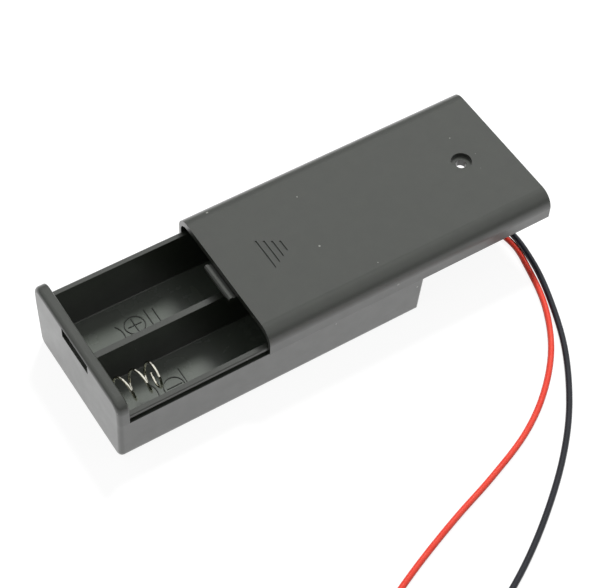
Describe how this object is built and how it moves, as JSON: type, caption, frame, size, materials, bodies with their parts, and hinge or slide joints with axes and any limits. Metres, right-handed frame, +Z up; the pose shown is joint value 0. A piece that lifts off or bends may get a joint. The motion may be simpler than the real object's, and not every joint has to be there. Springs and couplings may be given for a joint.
{
  "type": "covered cylindrical cell holder with sliding lid",
  "caption": "Moulded holder for cylindrical cells side by side, with a sliding snap lid, spring contacts, a slide switch underneath and flexible leads.",
  "frame": {"origin": "centre of the base's underside, on the surface that it rests on", "axes": "+X along the cells, the way the lid slides off, towards the leads; +Y across the cells towards the far bay; +Z up, out of the bays"},
  "size_m": [0.0991, 0.1052, 0.018],
  "materials": {
    "black_abs": "fine satin moulded ABS",
    "nickel_strip": "bright nickel-plated strip",
    "nickel_wire": "bright nickel-plated spring wire",
    "phenolic": "brown laminate",
    "knob_plastic": "satin moulded plastic",
    "bronze": "bright contact bronze",
    "tinned": "tinned, softly bright",
    "red_pvc": "soft satin PVC",
    "black_pvc": "soft satin PVC"
  },
  "bodies": {
    "holder": {"base": "black_abs", "bridge_plate": "nickel_strip", "bridge_spring": "nickel_wire", "negative_plate": "nickel_strip", "negative_spring": "nickel_wire", "positive_plate": "nickel_strip", "switch_shell": "nickel_strip", "switch_board": "phenolic", "terminal_near": "tinned", "terminal_middle": "tinned", "terminal_far": "tinned", "jumper_wire": "red_pvc", "red_lead": "red_pvc", "black_lead": "black_pvc", "red_lead_tip": "tinned", "black_lead_tip": "tinned"},
    "cover": {"lid": "black_abs"},
    "slider": {"switch_knob": "knob_plastic", "switch_clip": "bronze"}
  },
  "joints": [
    {"name": "lid_slide", "type": "slide", "parent": "holder", "child": "cover", "axis": [1, 0, 0], "range_m": [-0.03, 0.0385]},
    {"name": "switch_slide", "type": "slide", "parent": "holder", "child": "slider", "axis": [0, 1, 0], "range_m": [0, 0.002]}
  ]
}
